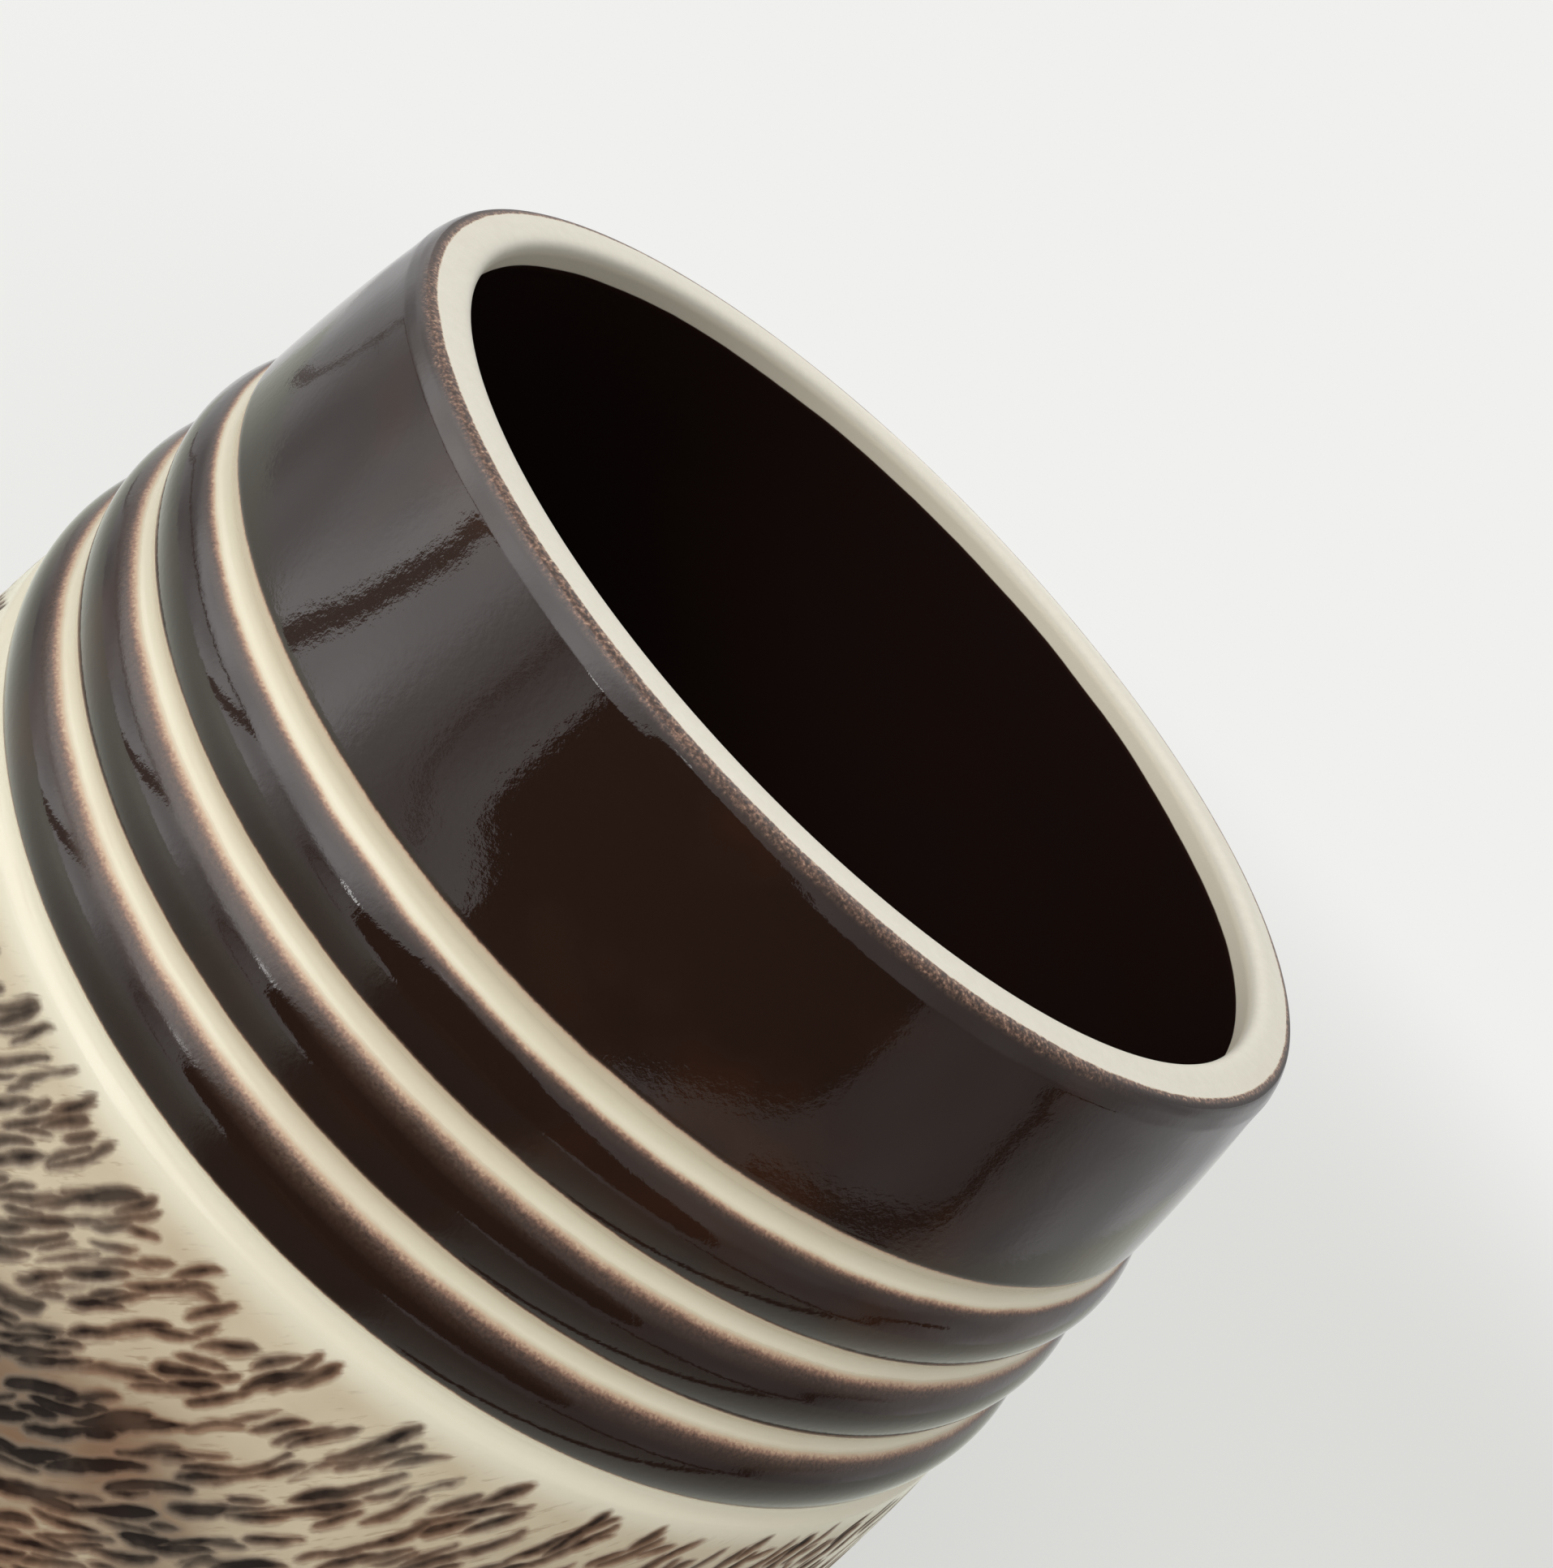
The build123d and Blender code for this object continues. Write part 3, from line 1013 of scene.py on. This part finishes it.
def pale_floor():
    """A wide pale floor that takes the shadows and fades into the backdrop."""
    half = 12.0
    mesh = bpy.data.meshes.new("floor")
    mesh.from_pydata(
        [(-half, -half, 0), (half, -half, 0), (half, half, 0), (-half, half, 0)], [],
        [(0, 1, 2, 3)],
    )
    nodes = Nodes(bpy.data.materials.new("pale_floor"))
    near = nodes.result("BsdfDiffuse", srgb(236, 236, 232))
    far = nodes.result("Emission", BACKDROP)
    place = nodes.node("TexCoord").outputs["Object"]
    distance = nodes.node("VectorMath", place, SHADE_PLACE, operation="DISTANCE").outputs["Value"]
    fade = nodes.spread(distance, 0.15, 0.65, 0.45, 1.0)
    shown = nodes.times(fade, nodes.mirrored_or_seen())
    nodes.show(nodes.result("MixShader", shown, near, far))
    mesh.materials.append(nodes.owner)
    floor = placed("floor", mesh)


pale_floor()

CARD_DISTANCE = 450.0  # millimetres from the pot's axis
ROOM_DISTANCE = 475.0


def shining(name, places, faces, glow, colour=WHITE):
    """A mesh that shows only in gloss, as bright at each point as glow says."""
    mesh = bpy.data.meshes.new(name)
    mesh.from_pydata((np.asarray(places) * MM).tolist(), [], faces)
    mesh.attributes.new(name="glow", type="FLOAT", domain="POINT").data.foreach_set(
        "value", np.asarray(glow, dtype=np.float32)
    )
    nodes = Nodes(bpy.data.materials.new(name))
    nodes.show(nodes.result("Emission", colour, nodes.field("glow")))
    mesh.materials.append(nodes.owner)
    thing = placed(name, mesh)
    for kind in ("camera", "diffuse", "transmission", "volume_scatter", "shadow"):
        setattr(thing, f"visible_{kind}", False)


def strip_faces(columns, rows):
    """Faces of a sheet of points stored row after row."""
    return [
        (j * columns + i, j * columns + i + 1, (j + 1) * columns + i + 1, (j + 1) * columns + i)
        for j in range(rows - 1) for i in range(columns - 1)
    ]


def around(azimuths, distance):
    """Points that far out at azimuths in degrees, as x and y."""
    a = np.radians(azimuths)
    return distance * np.sin(a), -distance * np.cos(a)


def card(name, one_side, other_side, colour):
    """A card standing round the pot. Its sides list (azimuth in degrees, height in mm)."""
    t = np.linspace(0.0, 1.0, 25)

    def side(points):
        points = np.array(points, dtype=float)
        walked = np.concatenate([[0.0], np.cumsum(np.hypot(*np.diff(points, axis=0).T))])
        a, z = (np.interp(t * walked[-1], walked, points[:, k]) for k in (0, 1))
        return np.stack([*around(a, CARD_DISTANCE), z], axis=1)

    places = np.concatenate([side(one_side), side(other_side)])
    shining(name, places, strip_faces(len(t), 2), np.ones(len(places)), colour)


def thin_card(name, points, width, colour):
    """A narrow card along a line of (azimuth, height), width in millimetres."""
    points = np.array(points, dtype=float)
    per_degree = math.radians(CARD_DISTANCE)
    run = np.gradient(points * [per_degree, 1.0], axis=0)
    run /= np.hypot(*run.T)[:, None]
    aside = np.stack([-run[:, 1] / per_degree, run[:, 0]], axis=1) * width / 2
    card(name, points + aside, points - aside, colour)


def by_azimuth(azimuths, knots):
    """Values at azimuths from a list of (azimuth, value), a little smoothed."""
    at, value = np.array(knots, dtype=float).T
    return sum(np.interp(azimuths + step, at, value) for step in (-2.0, -1.0, 0.0, 1.0, 2.0)) / 5


def room():
    """What stands round the pot: walls, a brighter ceiling, and a floor in half shade."""
    azimuths = np.arange(-180.0, 181.0, 1.0)
    walls = by_azimuth(azimuths, [
        (-180, 0.7), (-125, 0.7), (-108, 0.55), (-100, 0.5), (-92, 0.7), (-86, 0.85), (-80, 1.2),
        (-72, 1.8), (-66, 2.2), (-58, 2.0), (-52, 2.2), (-48, 1.7), (-44, 1.0), (-40, 0.95),
        (-36, 0.65), (-33, 0.62), (-28, 0.85), (-22, 0.95), (-15, 0.9), (40, 0.3), (50, 0.28),
        (64, 0.34), (78, 0.2), (90, 0.42), (101, 0.6), (125, 0.72), (150, 0.58), (180, 0.7),
    ])
    ceiling = by_azimuth(azimuths, [
        (-180, 3.0), (-165, 1.4), (-150, 0.9), (-120, 0.8), (-100, 1.0), (-86, 2.4), (-60, 3.0),
        (-30, 2.9), (-20, 1.3), (10, 0.7), (45, 0.5), (60, 0.45), (110, 0.5), (150, 0.9),
        (165, 1.4), (180, 3.0),
    ])
    turn = by_azimuth(azimuths, [(-180, 185), (-120, 130), (-72, 145), (-60, 190), (180, 190)])
    heights = np.array([1.0, 40, 80, 110, 125, 140, 155, 170, 185, 200, 220, 260, 400, 700, 1300])
    share = smoothstep(heights[:, None] - turn, -10.0, 45.0)
    patches = 1.0 + 0.12 * np.sin(azimuths / 3.1) * np.cos(heights / 37.0)[:, None]
    glow = (walls * (1 - share) + ceiling * share) * patches
    x, y = around(azimuths, ROOM_DISTANCE)
    places = [np.stack([x, y, np.full_like(x, z)], axis=1) for z in heights]
    shining("room_walls", np.concatenate(places), strip_faces(len(azimuths), len(heights)),
            glow.ravel())

    front = np.arange(-135.0, 136.0, 1.0)
    near = by_azimuth(front, [
        (-135, 1.0), (-110, 1.1), (-80, 0.8), (-60, 0.43), (-42, 0.3), (-20, 0.27), (-15, 0.06),
        (18, 0.06), (22, 0.3), (33, 0.44), (60, 0.52), (100, 0.7), (135, 0.9),
    ])
    far = by_azimuth(front, [
        (-135, 0.7), (-108, 0.6), (-80, 0.9), (-60, 1.5), (-48, 1.2), (-40, 0.9), (-33, 0.7),
        (-22, 0.85), (-17, 0.8), (-14, 0.06), (17, 0.06), (20, 0.2), (64, 0.28), (101, 0.5),
        (135, 0.7),
    ])
    reach = np.array([66.0, 90.0, 140.0, 220.0, 330.0, 475.0])
    share = smoothstep(reach, 80.0, 400.0)[:, None]
    shade = near * (1 - share) + far * share
    places = [np.stack([*around(front, r), np.full_like(front, 0.6)], axis=1) for r in reach]
    shining("room_floor", np.concatenate(places), strip_faces(len(front), len(reach)),
            shade.ravel(), (0.97, 1.0, 0.88, 1.0))


room()

DARK = (0.012, 0.008, 0.006, 1.0)
DUSK = (0.09, 0.05, 0.02, 1.0)
# the photographer's dark shape in front of the pot
card(
    "dark_front",
    [(-23.5, 85), (-24, 135), (-24, 190), (-19, 251), (-9, 380), (5, 375), (18, 305), (33, 240),
     (43, 215), (47.5, 180), (47.5, 120)],
    [(-22, 72), (-18, 60), (-14, 45), (-9, 30), (5, 20), (20, 30), (29, 46), (35, 56), (42, 61),
     (46, 82), (47.5, 115)],
    DARK,
)
card("trunk_front", [(-14, 46), (-13, 1)], [(18, 30), (17, 1)], (0.05, 0.03, 0.015, 1.0))
card("dusk_front", [(-9, 60), (-8.5, 100), (-7, 150)], [(18, 0), (2, 90), (-4, 150)], DUSK)
card("dark_left", [(-54.5, 190), (-57, 130), (-58.5, 100), (-60, 66), (-64.5, 20), (-66, 0)],
     [(-58.5, 190), (-61, 130), (-63, 100), (-64.5, 66), (-69.5, 22), (-71, 0)],
     (0.34, 0.28, 0.25, 1.0))
thin_card("line_left", [(-30.5, 181), (-34.8, 150), (-35.4, 122), (-35.6, 97), (-35.2, 76),
                        (-33.3, 57), (-29.6, 40), (-26, 30)], 8.0, (0.3, 0.27, 0.25, 1.0))
thin_card("line_far_left", [(-124, 2), (-117, 18), (-113.4, 48), (-112, 74), (-102, 101),
                            (-91, 126), (-80, 139), (-72, 144),
                            (-67, 157), (-63, 173), (-59, 188)], 10.0, (0.3, 0.27, 0.26, 1.0))
thin_card("line_right", [(92, 131), (84, 133), (80, 116), (78, 97), (78.4, 69), (79, 40),
                         (73, 26), (64, 22), (55, 22), (44, 20)], 19.0, (0.01, 0.01, 0.01, 1.0))
# a dark edge that lies on the floor, from in front of the pot out to the right
shining("line_floor", [(50, -86, 0.9), (50, -98, 0.9), (446, -150, 0.9), (446, -116, 0.9)],
        [(0, 1, 2, 3)], np.ones(4), (0.02, 0.02, 0.02, 1.0))
card("bright_left", [(-27.5, 186), (-28.5, 215)], [(-25, 186), (-25, 212)], (9.0, 9.0, 9.0, 1.0))
card("bright_front", [(-10, 396), (-10.4, 418)], [(-7.6, 394), (-7, 416)], (6.0, 6.0, 6.0, 1.0))

bpy.context.scene.view_settings.view_transform = "Standard"
